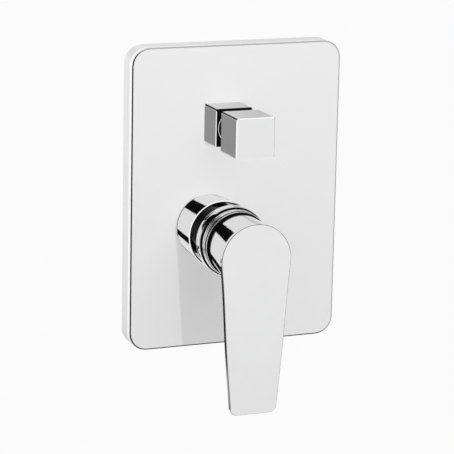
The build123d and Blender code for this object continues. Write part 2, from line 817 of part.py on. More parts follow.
# Lever: flared hub and flat blade in one casting.
screw_d = hub_d + lever_screw_ahead
plug_out = hub_rear_r + lever_screw_ahead / hub_len * (lever_head_r + lever_head_drop - hub_rear_r)
screw_hole_len = plug_out + 2 * lap
mid_half = lever_mid_w / 2
tip_half = lever_tip_w / 2
root_z = lever_head_drop + lever_root_drop
root_half = mid_half + (lever_mid_z - root_z) * (lever_head_r - mid_half) / (lever_mid_z - lever_head_drop)
blade_narrows = mid_half - tip_half
blade_falls = lever_length - lever_mid_z
thin_from_z = -lever_head_drop - lever_head_r - 2 * lap
with BuildPart() as lever_handle:
    with BuildSketch(lever_plane(hub_d)):
        Circle(hub_rear_r)
    with BuildSketch(lever_plane(lever_back_d)):
        with Locations((0, -lever_head_drop)):
            Circle(lever_head_r - play)
    loft()
    with BuildSketch(lever_plane(lever_back_d)) as blade_outline:
        with Locations((0, -lever_head_drop)):
            Circle(lever_head_r)
        with BuildLine():
            Spline(
                (-lever_head_r, -lever_head_drop),
                (-root_half, -root_z),
                (-mid_half, -lever_mid_z),
                (-tip_half, -lever_length),
                tangents=((0, -1), (blade_narrows, -blade_falls)),
            )
            Line((-tip_half, -lever_length), (tip_half, -lever_length))
            Spline(
                (tip_half, -lever_length),
                (mid_half, -lever_mid_z),
                (root_half, -root_z),
                (lever_head_r, -lever_head_drop),
                tangents=((blade_narrows, blade_falls), (0, 1)),
            )
            Line((lever_head_r, -lever_head_drop), (-lever_head_r, -lever_head_drop))
        make_face()
        tip_corners = blade_outline.vertices().sort_by(Axis.Y)[:2]
        fillet(tip_corners, lever_tip_r)
    extrude(amount=lever_root_t)
    fillet(lever_handle.faces().sort_by(Axis.Y)[0].edges(), lever_edge_r)
    # The blade thins toward its tip.
    with BuildSketch(Plane(origin=(lever_x, 0, lever_z), x_dir=(0, -1, 0), z_dir=(1, 0, 0))):
        with BuildLine():
            Polyline(
                (lever_back_d, thin_from_z),
                (lever_front_d - lever_tip_t, -lever_length - lap),
                (lever_back_d - lap, -lever_length - lap),
                (lever_back_d - lap, thin_from_z),
                close=True,
            )
        make_face()
    extrude(amount=lever_mid_w, both=True, mode=Mode.SUBTRACT)
    # Cavity over the dome cap, spindle socket and set screw hole.
    with BuildSketch(lever_plane(hub_d)):
        Circle(ring_seat_r)
    extrude(amount=hub_cavity_len, mode=Mode.SUBTRACT)
    with BuildSketch(lever_plane(hub_d)):
        Circle(ring_seat_r - hub_wall)
        Circle(hub_boss_r, mode=Mode.SUBTRACT)
    extrude(amount=hub_cavity_len + hub_hollow_len, mode=Mode.SUBTRACT)
    with BuildSketch(lever_plane(hub_d)):
        Rectangle(spindle_w + 2 * run_gap, spindle_w + 2 * run_gap)
    extrude(amount=spindle_end_d - hub_d, mode=Mode.SUBTRACT)
    with Locations((lever_x, -screw_d, lever_z - screw_hole_len / 2)):
        Cylinder(lever_screw_r + run_gap, screw_hole_len, mode=Mode.SUBTRACT)
lever_handle.part.label = "lever_handle"
export_step(lever_handle.part, "parts/lever_handle.step")

# Set screw of the lever and the plug that closes its hole.
lever_screw_z = lever_z - spindle_w / 2
lever_key_z = lever_screw_z - lever_screw_len + lever_key_deep
with BuildPart() as lever_screw:
    with BuildSketch(Plane(origin=(lever_x, -screw_d, lever_screw_z), z_dir=(0, 0, -1))):
        Circle(lever_screw_r)
    extrude(amount=lever_screw_len)
    with BuildSketch(Plane(origin=(lever_x, -screw_d, lever_key_z), z_dir=(0, 0, -1))):
        RegularPolygon(lever_key_r, 6, major_radius=False)
    extrude(amount=lever_key_deep, mode=Mode.SUBTRACT)
lever_screw.part.label = "lever_screw"
export_step(lever_screw.part, "parts/lever_screw.step")

plug_z = lever_z - plug_out + plug_sunk + plug_len
with BuildPart() as screw_plug:
    with BuildSketch(Plane(origin=(lever_x, -screw_d, plug_z), z_dir=(0, 0, -1))):
        Circle(lever_screw_r)
    extrude(amount=plug_len)
screw_plug.part.label = "screw_plug"
export_step(screw_plug.part, "parts/screw_plug.step")

# Diverter bonnet: screwed into the chamber, carries the front valve seat and guides the stem.
ring_groove_d = nose_d - stem_ring_set
ring_groove_r = stem_r + stem_ring_groove
cage_r = valve_bore_r - fit_gap
cage_in_r = cage_r - cage_wall
cage_top_d = wall_depth - bonnet_plug_len
window_d = shower_d + shower_bore_ahead
with BuildPart() as diverter_bonnet:
    with BuildSketch(knob_profile):
        with BuildLine():
            Polyline(
                (seat_bore_r, front_seat_d),
                (cage_r, front_seat_d),
                (cage_r, bonnet_d),
                (bonnet_flange_r, bonnet_d),
                (bonnet_flange_r, nose_d),
                (bonnet_nose_r, nose_d),
                (bonnet_nose_r, nose_end_d),
                (stem_r + run_gap, nose_end_d),
                (stem_r + run_gap, cage_top_d),
                (cage_in_r, cage_top_d - cage_taper),
                (cage_in_r, front_seat_d + seat_t),
                (seat_bore_r, front_seat_d + seat_t),
                close=True,
            )
        make_face()
    revolve(axis=knob_axis)
    with BuildSketch(knob_plane(bonnet_d)):
        RegularPolygon(bonnet_flange_r, 6, major_radius=False)
        Circle(bonnet_nose_r, mode=Mode.SUBTRACT)
    extrude(amount=bonnet_flange_t)
    with Locations((knob_x, -window_d, knob_z)):
        Cylinder(window_r, 2 * valve_r, mode=Mode.SUBTRACT)
    with Locations(Location((knob_x, -window_d, knob_z), (0, 90, 0))):
        Cylinder(window_r, 2 * valve_r, mode=Mode.SUBTRACT)
    with BuildSketch(knob_profile):
        with Locations(((stem_r + ring_groove_r) / 2, ring_groove_d)):
            Rectangle(stem_ring_groove, stem_ring_groove_w)
    revolve(axis=knob_axis, mode=Mode.SUBTRACT)
diverter_bonnet.part.label = "diverter_bonnet"
export_step(diverter_bonnet.part, "parts/diverter_bonnet.step")

# Fibre washer under the bonnet flange.
with BuildPart() as bonnet_seal:
    with BuildSketch(knob_plane(wall_depth)):
        Circle(bonnet_flange_r)
        Circle(valve_bore_r, mode=Mode.SUBTRACT)
    extrude(amount=bonnet_seal_t)
bonnet_seal.part.label = "bonnet_seal"
export_step(bonnet_seal.part, "parts/bonnet_seal.step")

# Rubber ring round the stem.
stem_ring_r = (stem_ring_groove - run_gap) / 2
with BuildPart() as stem_ring:
    with BuildSketch(knob_profile):
        with Locations((ring_groove_r - stem_ring_r, ring_groove_d)):
            Circle(stem_ring_r)
    revolve(axis=knob_axis)
stem_ring.part.label = "stem_ring"
export_step(stem_ring.part, "parts/stem_ring.step")

# Square chromed collar screwed on the bonnet nose; it clamps the plate.
collar_ring_in = bonnet_nose_r + collar_ring_gap
collar_ring_out = collar_w / 2 - collar_ring_edge
insert_w = collar_w - 2 * insert_rim - 2 * collar_edge
insert_corner_r = corner_r - insert_rim - collar_edge
insert_d = collar_front_d - insert_t
with BuildPart() as diverter_collar:
    with BuildSketch(knob_plane(plate_front_d)):
        RectangleRounded(collar_w, collar_w, corner_r)
    extrude(amount=collar_len)
    chamfer(diverter_collar.faces().sort_by(Axis.Y)[0].edges(), collar_edge)
    with BuildSketch(knob_plane(insert_d)):
        RectangleRounded(insert_w, insert_w, insert_corner_r)
    extrude(amount=insert_t, mode=Mode.SUBTRACT)
    with BuildSketch(knob_plane(web_d)):
        Circle(collar_open_r)
    extrude(amount=collar_len, mode=Mode.SUBTRACT)
    with BuildSketch(knob_plane(plate_front_d)):
        Circle(bonnet_nose_r + run_gap)
    extrude(amount=collar_web, mode=Mode.SUBTRACT)
    with BuildSketch(knob_plane(plate_front_d)):
        Circle(collar_ring_out)
        Circle(collar_ring_in, mode=Mode.SUBTRACT)
    extrude(amount=collar_ring_t, mode=Mode.SUBTRACT)
diverter_collar.part.label = "diverter_collar"
export_step(diverter_collar.part, "parts/diverter_collar.step")

# Black plate in the front of the collar, with the round opening for the bush of the knob.
with BuildPart() as collar_insert:
    with BuildSketch(knob_plane(insert_d)):
        RectangleRounded(insert_w - 2 * run_gap, insert_w - 2 * run_gap, insert_corner_r)
        Circle(insert_open_r, mode=Mode.SUBTRACT)
    extrude(amount=insert_t - insert_sunk)
    chamfer(collar_insert.edges().filter_by(GeomType.CIRCLE).sort_by(Axis.Y)[0], insert_edge)
collar_insert.part.label = "collar_insert"
export_step(collar_insert.part, "parts/collar_insert.step")

# Rubber ring under the collar.
with BuildPart() as collar_ring:
    with BuildSketch(knob_plane(plate_front_d)):
        Circle(collar_ring_out - fit_gap)
        Circle(collar_ring_in + fit_gap, mode=Mode.SUBTRACT)
    extrude(amount=collar_ring_t)
collar_ring.part.label = "collar_ring"
export_step(collar_ring.part, "parts/collar_ring.step")

# Cube knob, with a pocket at its back for the bush.
knob_screw_d = knob_back_d + knob_screw_ahead
knob_hole_len = knob_w / 2 + lap
with BuildPart() as diverter_knob:
    with BuildSketch(knob_plane(knob_back_d)):
        RectangleRounded(knob_w, knob_w, corner_r)
    extrude(amount=knob_len)
    chamfer(diverter_knob.faces().sort_by(Axis.Y)[0].edges(), edge_soft)
    chamfer(diverter_knob.faces().sort_by(Axis.Y)[-1].edges(), edge_soft)
    with BuildSketch(knob_plane(knob_back_d)):
        Circle(bush_r + run_gap)
    extrude(amount=bush_hold, mode=Mode.SUBTRACT)
    with BuildSketch(knob_plane(knob_back_d)):
        Circle(stem_r + run_gap)
    extrude(amount=stem_hold, mode=Mode.SUBTRACT)
    with Locations((knob_x, -knob_screw_d, knob_z - knob_hole_len / 2)):
        Cylinder(knob_screw_r + run_gap, knob_hole_len, mode=Mode.SUBTRACT)
diverter_knob.part.label = "diverter_knob"
export_step(diverter_knob.part, "parts/diverter_knob.step")

# Black bush on the stem behind the knob, with a flange inside the collar.
with BuildPart() as knob_bush:
    with BuildSketch(knob_plane(bush_end_d)):
        Circle(bush_r)
    extrude(amount=bush_len + bush_hold)
    with BuildSketch(knob_plane(bush_end_d)):
        Circle(bush_flange_r)
    extrude(amount=bush_flange_t)
    chamfer(knob_bush.edges().sort_by(Axis.Y)[-1], bush_edge)
    with BuildSketch(knob_plane(bush_end_d)):
        Circle(stem_r + run_gap)
    extrude(amount=bush_len + bush_hold, mode=Mode.SUBTRACT)
knob_bush.part.label = "knob_bush"
export_step(knob_bush.part, "parts/knob_bush.step")

# Set screw of the knob.
knob_screw_z = knob_z - stem_r
knob_key_z = knob_screw_z - knob_screw_len + knob_key_deep
with BuildPart() as knob_screw:
    with BuildSketch(Plane(origin=(knob_x, -knob_screw_d, knob_screw_z), z_dir=(0, 0, -1))):
        Circle(knob_screw_r)
    extrude(amount=knob_screw_len)
    with BuildSketch(Plane(origin=(knob_x, -knob_screw_d, knob_key_z), z_dir=(0, 0, -1))):
        RegularPolygon(knob_key_r, 6, major_radius=False)
    extrude(amount=knob_key_deep, mode=Mode.SUBTRACT)
knob_screw.part.label = "knob_screw"
export_step(knob_screw.part, "parts/knob_screw.step")

# Diverter stem with a thinner threaded end for the valve.
valve_front_d = front_seat_d - run_gap
disc_front_d = valve_front_d - washer_t
rear_washer_d = disc_front_d - valve_disc_t
nut_front_d = rear_washer_d - washer_t
nut_back_d = nut_front_d - valve_nut_t
with BuildPart() as diverter_stem:
    with BuildSketch(knob_plane(valve_front_d)):
        Circle(stem_r)
    extrude(amount=stem_end_d - valve_front_d)
    with BuildSketch(knob_plane(nut_back_d - stem_tail)):
        Circle(valve_hole_r)
    extrude(amount=valve_front_d - nut_back_d + stem_tail + lap)
diverter_stem.part.label = "diverter_stem"
export_step(diverter_stem.part, "parts/diverter_stem.step")

# Valve: brass disc between two rubber washers, held by a nut.
with BuildPart() as front_washer:
    with BuildSketch(knob_plane(disc_front_d)):
        Circle(washer_r)
        Circle(valve_hole_r + run_gap, mode=Mode.SUBTRACT)
    extrude(amount=washer_t)
front_washer.part.label = "front_washer"
export_step(front_washer.part, "parts/front_washer.step")

with BuildPart() as valve_disc:
    with BuildSketch(knob_plane(rear_washer_d)):
        Circle(valve_disc_r)
        Circle(valve_hole_r + run_gap, mode=Mode.SUBTRACT)
    extrude(amount=valve_disc_t)
valve_disc.part.label = "valve_disc"
export_step(valve_disc.part, "parts/valve_disc.step")

with BuildPart() as rear_washer:
    with BuildSketch(knob_plane(nut_front_d)):
        Circle(washer_r)
        Circle(valve_hole_r + run_gap, mode=Mode.SUBTRACT)
    extrude(amount=washer_t)
rear_washer.part.label = "rear_washer"
export_step(rear_washer.part, "parts/rear_washer.step")

with BuildPart() as valve_nut:
    with BuildSketch(knob_plane(nut_back_d)):
        RegularPolygon(valve_nut_r, 6, major_radius=False)
        Circle(valve_hole_r + run_gap, mode=Mode.SUBTRACT)
    extrude(amount=valve_nut_t)
valve_nut.part.label = "valve_nut"
export_step(valve_nut.part, "parts/valve_nut.step")
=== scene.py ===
import json
import math
import bpy
import bmesh
from mathutils import Matrix, Vector

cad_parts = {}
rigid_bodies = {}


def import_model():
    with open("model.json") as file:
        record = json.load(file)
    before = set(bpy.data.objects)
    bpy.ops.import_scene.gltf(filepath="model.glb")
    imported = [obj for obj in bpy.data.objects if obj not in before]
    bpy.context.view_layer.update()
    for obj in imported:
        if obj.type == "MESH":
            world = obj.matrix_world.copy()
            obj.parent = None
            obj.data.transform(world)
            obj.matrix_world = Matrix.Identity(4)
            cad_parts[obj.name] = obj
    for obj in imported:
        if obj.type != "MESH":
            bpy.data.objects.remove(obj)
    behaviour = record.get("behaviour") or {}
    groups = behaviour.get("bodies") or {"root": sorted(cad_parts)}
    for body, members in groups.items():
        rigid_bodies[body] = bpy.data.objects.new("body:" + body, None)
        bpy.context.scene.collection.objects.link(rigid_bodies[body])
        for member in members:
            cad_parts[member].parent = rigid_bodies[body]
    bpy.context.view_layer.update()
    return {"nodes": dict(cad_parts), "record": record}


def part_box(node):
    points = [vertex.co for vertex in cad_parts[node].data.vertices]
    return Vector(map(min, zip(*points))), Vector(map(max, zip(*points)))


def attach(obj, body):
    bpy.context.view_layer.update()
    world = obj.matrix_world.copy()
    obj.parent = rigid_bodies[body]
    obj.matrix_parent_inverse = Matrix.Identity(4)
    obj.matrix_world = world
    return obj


for old in list(bpy.data.objects):
    bpy.data.objects.remove(old, do_unlink=True)
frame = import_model()
nodes = frame["nodes"]

# The wall plane and the front of the plate, in metres.
WALL_Y = -0.070
PLATE_Y = -0.0877
# The axis of the lever's hub.
LEVER_X = -0.0103
LEVER_Z = -0.0044
# Painted shade: dark lines in the grooves of the ring, round the foot of the sleeve (a painted
# contact shadow) and at the root of the hub, as depths in front of the fixing lugs.
RING_GROOVE_SHADE = ((0.1362, 0.1379), (0.1399, 0.1403), (0.1424, 0.1432), (0.1446, 0.1452))
SLEEVE_FOOT_SHADOW = (0.0870, 0.0885)
HUB_ROOT_SHADE = (0.1470, 0.1494)
# Where the painted highlight band on the plate's side fades in, measured in the same way.
PLATE_HIGHLIGHT_BAND = (0.0825, 0.0835)
# The widths of the painted dark lines on the edges of the knob and the collar, a painted dark
# reflection and shade.
SIDE_LINE = 0.0010
FRONT_LINE = 0.0014
# Half the width over which a painted dark line fades.
LINE_SOFT = 0.0001
# How dark the painted shade on the edge of the lever's front is.
RIM_SHADE = 0.8
# The colour of the painted shade, painted shadow and painted dark reflections.
PAINTED_SHADE_DARK = (0.004, 0.004, 0.004, 1.0)
# The colour of the painted highlight on the plate's side.
PAINTED_HIGHLIGHT = (1.0, 1.0, 1.0, 1.0)
# The colour of the painted shade on the plate's left side.
LEFT_SHADE_GREY = (0.795, 0.795, 0.80, 1.0)


def grey(level):
    return (level, level, level)


# Node helpers.
def material(name):
    mat = bpy.data.materials.new(name)
    mat.use_nodes = True
    tree = mat.node_tree
    return mat, tree, tree.nodes["Principled BSDF"]


def node(tree, kind, **values):
    made = tree.nodes.new(kind)
    for key, value in values.items():
        setattr(made, key, value)
    return made


def math_node(tree, operation, a, b=None, clamp=False):
    made = node(tree, "ShaderNodeMath", operation=operation, use_clamp=clamp)
    for socket, value in zip(made.inputs, (a, b)):
        if value is None:
            continue
        if isinstance(value, (int, float)):
            socket.default_value = value
        else:
            tree.links.new(value, socket)
    return made.outputs[0]


def negative(tree, value):
    return math_node(tree, "MULTIPLY", value, -1.0)


def remap(tree, value, low, high, to_low=0.0, to_high=1.0):
    made = node(tree, "ShaderNodeMapRange", clamp=True, interpolation_type="SMOOTHSTEP")
    tree.links.new(value, made.inputs["Value"])
    made.inputs["From Min"].default_value = low
    made.inputs["From Max"].default_value = high
    made.inputs["To Min"].default_value = to_low
    made.inputs["To Max"].default_value = to_high
    return made.outputs["Result"]


def xyz(tree, vector):
    parts = node(tree, "ShaderNodeSeparateXYZ")
    tree.links.new(vector, parts.inputs[0])
    return parts.outputs


def surface_normal(tree):
    return xyz(tree, node(tree, "ShaderNodeTexCoord").outputs["Normal"])


def object_coords(tree, stretch=(1.0, 1.0, 1.0)):
    coords = node(tree, "ShaderNodeTexCoord")
    mapping = node(tree, "ShaderNodeMapping")
    mapping.inputs["Scale"].default_value = stretch
    tree.links.new(coords.outputs["Object"], mapping.inputs["Vector"])
    return mapping.outputs["Vector"]


def noise(tree, vector, scale, detail=3.0, rough=0.5):
    made = node(tree, "ShaderNodeTexNoise")
    made.inputs["Scale"].default_value = scale
    made.inputs["Detail"].default_value = detail
    made.inputs["Roughness"].default_value = rough
    tree.links.new(vector, made.inputs["Vector"])
    return made.outputs["Fac"]


def blend_colours(tree, factor, first, second):
    ramp = node(tree, "ShaderNodeValToRGB")
    ramp.color_ramp.elements[0].color = (*first, 1.0)
    ramp.color_ramp.elements[1].color = (*second, 1.0)
    tree.links.new(factor, ramp.inputs["Fac"])
    return ramp.outputs["Color"]


def tint(tree, colour, mask, to):
    # Inputs 6 and 7 and output 2 are the colours of the mix node.
    mix = node(tree, "ShaderNodeMix", data_type="RGBA")
    tree.links.new(mask, mix.inputs["Factor"])
    tree.links.new(colour, mix.inputs[6])
    mix.inputs[7].default_value = to
    return mix.outputs[2]


def bump(tree, bsdf, height, strength, distance):
    made = node(tree, "ShaderNodeBump")
    made.inputs["Strength"].default_value = strength
    made.inputs["Distance"].default_value = distance
    tree.links.new(height, made.inputs["Height"])
    tree.links.new(made.outputs["Normal"], bsdf.inputs["Normal"])


# Masks for the painted dark lines: painted shade, a painted shadow and painted dark reflections.
def groove_shade_mask(tree, where, low, high):
    # A painted shade line round the piece, between two depths in front of the fixing lugs.
    depth = negative(tree, xyz(tree, where)["Y"])
    rise = remap(tree, depth, low - LINE_SOFT, low + LINE_SOFT)
    fall = remap(tree, depth, high + LINE_SOFT, high - LINE_SOFT)
    return math_node(tree, "MULTIPLY", rise, fall)


def painted_edge_shade(name, face, width):
    # A painted dark line along the edge between the top of a square piece and its left or front
    # face, standing in for a dark reflection and shade.
    low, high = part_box(name)
    axis, plane = ("X", low[0]) if face == "left" else ("Y", low[1])

    def mask(tree):
        where = xyz(tree, object_coords(tree))
        inward = math_node(tree, "SUBTRACT", where[axis], plane)
        down = math_node(tree, "SUBTRACT", high[2], where["Z"])
        from_edge = math_node(tree, "ADD", inward, down)
        return remap(tree, from_edge, width + LINE_SOFT, width - LINE_SOFT)

    return mask


def foot_shadow_mask(tree):
    # A painted contact shadow round the foot of the sleeve, which fades out over the top and the
    # right.
    line = groove_shade_mask(tree, object_coords(tree), *SLEEVE_FOOT_SHADOW)
    shade_on_left = remap(tree, surface_normal(tree)["X"], -0.25, -0.5)
    return math_node(tree, "MULTIPLY", line, shade_on_left)


def inside_shade_mask(tree):
    # Painted shade on the faces that look toward the lever's axis, and on the flat of the rim.
    where = xyz(tree, object_coords(tree))
    normal = surface_normal(tree)
    from_x = math_node(tree, "SUBTRACT", where["X"], LEVER_X)
    from_z = math_node(tree, "SUBTRACT", where["Z"], LEVER_Z)
    across = math_node(tree, "MULTIPLY", from_x, normal["X"])
    upward = math_node(tree, "MULTIPLY", from_z, normal["Z"])
    return remap(tree, math_node(tree, "ADD", across, upward), 0.006, 0.002)


def rim_shade_mask(tree):
    # Painted dark reflection: the rounded edge of the front face, a little darker than the face.
    out = negative(tree, surface_normal(tree)["Y"])
    line = math_node(tree, "MULTIPLY", remap(tree, out, 0.99, 0.9), remap(tree, out, 0.1, 0.3))
    return math_node(tree, "MULTIPLY", line, RIM_SHADE)


# Materials, one for each slot of the record.
def chrome(name="chrome_plate", grooves=(), masks=()):
    mat, tree, bsdf = material(name)
    bsdf.inputs["Metallic"].default_value = 1.0
    where = object_coords(tree)
    cloud = noise(tree, where, 90.0, 2.0)
    colour = blend_colours(tree, cloud, (0.90, 0.90, 0.905), grey(0.93))
    # Painted shade and painted dark reflections, as dark lines at given depths and under given
    # masks.
    for low, high in grooves:
        colour = tint(tree, colour, groove_shade_mask(tree, where, low, high), PAINTED_SHADE_DARK)
    for mask in masks:
        colour = tint(tree, colour, mask(tree), PAINTED_SHADE_DARK)
    tree.links.new(colour, bsdf.inputs["Base Color"])
    haze = noise(tree, where, 420.0, 4.0, 0.6)
    tree.links.new(remap(tree, haze, 0.3, 0.75, 0.02, 0.05), bsdf.inputs["Roughness"])
    bump(tree, bsdf, noise(tree, where, 70.0, 1.0), 0.15, 0.00002)
    return mat


def plate_chrome():
    mat, tree, bsdf = material("plate_chrome")
    where = object_coords(tree)
    normal = surface_normal(tree)
    out = negative(tree, normal["Y"])
    tree.links.new(remap(tree, out, 0.3, 0.6, 0.0, 0.4), bsdf.inputs["Metallic"])
    cloud = noise(tree, where, 14.0, 2.0)
    colour = blend_colours(tree, cloud, (0.895, 0.895, 0.90), grey(0.91))
    # Painted shade: the left side is a shade greyer, so that the painted highlight band stands out
    # on it.
    shade_on_left = remap(tree, normal["X"], -0.3, -0.6)
    colour = tint(tree, colour, shade_on_left, LEFT_SHADE_GREY)
    # A painted highlight: a pale band round the side, next to the front edge.
    depth = negative(tree, xyz(tree, where)["Y"])
    on_side = remap(tree, out, 0.6, 0.3)
    band = math_node(tree, "MULTIPLY", remap(tree, depth, *PLATE_HIGHLIGHT_BAND), on_side)
    colour = tint(tree, colour, band, PAINTED_HIGHLIGHT)
    # A painted dark reflection: the rounded front edge is dark next to the face, most at the left
    # and the bottom.
    line = math_node(tree, "MULTIPLY", remap(tree, out, 0.999, 0.99), remap(tree, out, 0.45, 0.6))
    lit = math_node(tree, "ADD", normal["X"], normal["Z"])
    line = math_node(tree, "MULTIPLY", line, remap(tree, lit, -0.2, 0.3, 1.0, 0.55))
    tree.links.new(tint(tree, colour, line, PAINTED_SHADE_DARK), bsdf.inputs["Base Color"])
    haze = noise(tree, where, 60.0, 1.0)
    tree.links.new(remap(tree, haze, 0.0, 1.0, 0.285, 0.335), bsdf.inputs["Roughness"])
    return mat


def brass():
    mat, tree, bsdf = material("brass")
    bsdf.inputs["Metallic"].default_value = 1.0
    where = object_coords(tree)
    cloud = noise(tree, where, 38.0, 4.0, 0.55)
    colour = blend_colours(tree, cloud, (0.60, 0.43, 0.20), (0.80, 0.62, 0.33))
    tree.links.new(colour, bsdf.inputs["Base Color"])
    grain = noise(tree, where, 900.0, 3.0, 0.6)
    tree.links.new(remap(tree, grain, 0.3, 0.7, 0.30, 0.48), bsdf.inputs["Roughness"])
    bump(tree, bsdf, grain, 0.35, 0.0001)
    return mat


def black_metal():
    mat, tree, bsdf = material("black_metal")
    bsdf.inputs["Metallic"].default_value = 0.0
    where = object_coords(tree)
    cloud = noise(tree, where, 300.0, 3.0)
    colour = blend_colours(tree, cloud, grey(0.006), grey(0.014))
    tree.links.new(colour, bsdf.inputs["Base Color"])
    tree.links.new(remap(tree, cloud, 0.3, 0.7, 0.30, 0.40), bsdf.inputs["Roughness"])
    bsdf.inputs["Specular IOR Level"].default_value = 0.02
    return mat


def plain(name, low, high, rough_low, rough_high, scale, relief, specular=0.5):
    mat, tree, bsdf = material(name)
    where = object_coords(tree)
    grain = noise(tree, where, scale, 3.0, 0.55)
    tree.links.new(blend_colours(tree, grain, low, high), bsdf.inputs["Base Color"])
    tree.links.new(remap(tree, grain, 0.3, 0.7, rough_low, rough_high), bsdf.inputs["Roughness"])
    bsdf.inputs["Specular IOR Level"].default_value = specular
    bump(tree, bsdf, grain, 0.3, relief)
    return mat


def steel():
    mat, tree, bsdf = material("steel")
    bsdf.inputs["Metallic"].default_value = 1.0
    where = object_coords(tree, (1.0, 1.0, 12.0))
    lines = noise(tree, where, 500.0, 3.0)
    colour = blend_colours(tree, lines, (0.48, 0.49, 0.51), (0.62, 0.63, 0.65))
    tree.links.new(colour, bsdf.inputs["Base Color"])
    tree.links.new(remap(tree, lines, 0.3, 0.7, 0.29, 0.40), bsdf.inputs["Roughness"])
    return mat


finishes = {
    "chrome": chrome(),
    "plate_chrome": plate_chrome(),
    "brass": brass(),
    "black_metal": black_metal(),
    "rubber": plain("rubber", grey(0.018), grey(0.035), 0.55, 0.75, 700.0, 0.00005),
    "foam": plain("foam", grey(0.05), grey(0.13), 0.8, 0.95, 900.0, 0.0003, 0.2),
    "plastic": plain("plastic", (0.76, 0.76, 0.74), (0.83, 0.83, 0.81), 0.35, 0.5, 500.0, 0.00003),
    "grey_plastic": plain(
        "grey_plastic", (0.50, 0.51, 0.52), (0.56, 0.57, 0.58), 0.3, 0.42, 500.0, 0.00003
    ),
    "black_plastic": plain("black_plastic", grey(0.004), grey(0.009), 0.4, 0.5, 500.0, 0.00002, 0.0),
    "ceramic": plain("ceramic", (0.85, 0.84, 0.80), (0.92, 0.91, 0.88), 0.15, 0.25, 400.0, 0.00001),
    "steel": steel(),
}
slots = {row["node"]: row["material_slot"] for row in frame["record"]["subparts"]}
for name, obj in nodes.items():
    obj.data.materials.clear()
    obj.data.materials.append(finishes[slots[name]])

# Chrome with painted dark lines (painted shade, a painted contact shadow and painted dark
# reflections), for the pieces whose grooves and edges show.
collar_shade_lines = (
    painted_edge_shade("diverter_collar", "left", SIDE_LINE),
    painted_edge_shade("diverter_collar", "front", FRONT_LINE),
)
knob_shade_lines = (painted_edge_shade("diverter_knob", "left", SIDE_LINE),)
shaded_chrome = {
    "hub_ring": chrome("ring_chrome", RING_GROOVE_SHADE),
    "sleeve": chrome("sleeve_chrome", masks=(foot_shadow_mask, inside_shade_mask)),
    "lever_handle": chrome("lever_chrome", (HUB_ROOT_SHADE,), (rim_shade_mask,)),
    "diverter_knob": chrome("knob_chrome", masks=knob_shade_lines),
    "diverter_collar": chrome("collar_chrome", masks=collar_shade_lines),
}
for name, finish in shaded_chrome.items():
    nodes[name].data.materials[0] = finish

# The chrome shows the studio, not its neighbours.
for obj in nodes.values():
    obj.visible_glossy = False


# A thin chromed bead round the opening in the front of the square collar.
def bead(name, radius, width, height, seat):
    low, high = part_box("diverter_knob")
    centre_x, centre_z = (low[0] + high[0]) / 2, (low[2] + high[2]) / 2
    turns, steps = 120, 8
    made = bmesh.new()
    rows = []
    for i in range(turns):
        turn = 2.0 * math.pi * i / turns
        row = []
        for j in range(steps + 1):
            bow = math.pi * j / steps
            reach = radius - width / 2 * math.cos(bow)
            row.append(made.verts.new((
                centre_x + reach * math.cos(turn),
                seat - height * math.sin(bow),
                centre_z + reach * math.sin(turn),
            )))
        rows.append(row)
    for i in range(turns):
        here, there = rows[i], rows[(i + 1) % turns]
        for j in range(steps):
            made.faces.new((here[j], here[j + 1], there[j + 1], there[j]))
        made.faces.new((here[steps], here[0], there[0], there[steps]))
    bmesh.ops.recalc_face_normals(made, faces=made.faces)
    mesh = bpy.data.meshes.new(name)
    made.to_mesh(mesh)
    made.free()
    for face in mesh.polygons:
        face.use_smooth = True
    mesh.materials.append(finishes["chrome"])
    piece = bpy.data.objects.new(name, mesh)
    bpy.context.scene.collection.objects.link(piece)
    piece.visible_glossy = False
    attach(piece, "mixer")


# How far the foot of the bead sinks into the collar's insert.
BEAD_SINK = 0.00003
insert_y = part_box("collar_insert")[0][1]
bead("insert_bead", radius=0.0110, width=0.0004, height=0.0002, seat=insert_y + BEAD_SINK)

# Camera: a long lens from the upper left.
TURN, PITCH, ROLL = math.radians(22.0), math.radians(13.67), math.radians(1.16)
# The picture's width and the focal length in pixels, and the distance to the target in metres.
IMAGE = 454
FOCAL = 2222.98
DISTANCE = 1.52899
target = Vector((0.01192, WALL_Y, -0.01129))
ahead = math.cos(PITCH)
forward = Vector((math.sin(TURN) * ahead, math.cos(TURN) * ahead, -math.sin(PITCH)))
level = Vector((math.cos(TURN), -math.sin(TURN), 0.0))
above = level.cross(forward)
right = math.cos(ROLL) * level + math.sin(ROLL) * above
up = math.cos(ROLL) * above - math.sin(ROLL) * level
lens = bpy.data.cameras.new("camera")
lens.sensor_width = 36.0
lens.lens = FOCAL * lens.sensor_width / IMAGE
lens.clip_end = 50.0
camera = bpy.data.objects.new("camera", lens)
facing = Matrix((right, up, -forward)).transposed().to_4x4()
camera.matrix_world = Matrix.Translation(target - forward * DISTANCE) @ facing
bpy.context.scene.collection.objects.link(camera)
bpy.context.scene.camera = camera

# Studio: white to the camera, pale with dark flags to the metal, plain to the rest.
PAPER, PLAIN = 0.965, 0.6
FRONT, LOW_FRONT, BOX = 0.865, 0.81, 1.15
BACK, TOP_GREY, SIDE_STRIP, SIDE_GREY, FLAG = 0.77, 0.57, 0.29, 0.45, 0.004
world = bpy.data.worlds.new("studio")
bpy.context.scene.world = world
world.use_nodes = True
world.cycles.sampling_method = "NONE"
sky = world.node_tree
sky.nodes.clear()
dir_x, dir_y, dir_z = xyz(sky, node(sky, "ShaderNodeTexCoord").outputs["Generated"])


def along(a, b):
    across, upward = math_node(sky, "MULTIPLY", dir_x, a), math_node(sky, "MULTIPLY", dir_z, b)
    return math_node(sky, "ADD", across, upward)


def over(value, edge, soft):
    return remap(sky, value, edge - soft, edge + soft)


def under(value, edge, soft):
    return remap(sky, value, edge + soft, edge - soft)


def both(*parts):
    result = parts[0]
    for part in parts[1:]:
        result = math_node(sky, "MULTIPLY", result, part)
    return result


